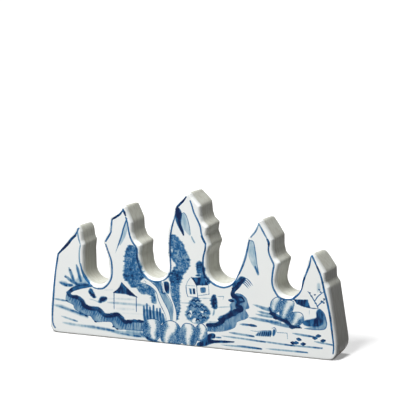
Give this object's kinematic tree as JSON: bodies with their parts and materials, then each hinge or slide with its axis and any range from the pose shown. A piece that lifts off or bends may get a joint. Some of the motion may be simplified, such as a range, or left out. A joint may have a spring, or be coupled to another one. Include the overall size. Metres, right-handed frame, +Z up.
{
  "type": "brush rest",
  "caption": "Mountain-shaped porcelain brush rest with a peaked skyline whose valleys hold brush handles, painted in underglaze blue.",
  "frame": {"origin": "middle of the foot on the table", "axes": "+X along the mountain from the first to the last peak, +Y from the painted front towards the back, +Z up"},
  "size_m": [0.17, 0.0186, 0.0848],
  "materials": {
    "painted_porcelain": "gloss",
    "glazed_porcelain": "gloss",
    "biscuit_foot": "matt"
  },
  "bodies": {
    "root": {"front_panel": "painted_porcelain", "back_panel": "glazed_porcelain", "left_end_wall": "glazed_porcelain", "valley_wall_1": "glazed_porcelain", "valley_wall_2": "glazed_porcelain", "valley_wall_3": "glazed_porcelain", "valley_wall_4": "glazed_porcelain", "right_end_wall": "glazed_porcelain", "base_plate": "biscuit_foot"}
  },
  "joints": []
}
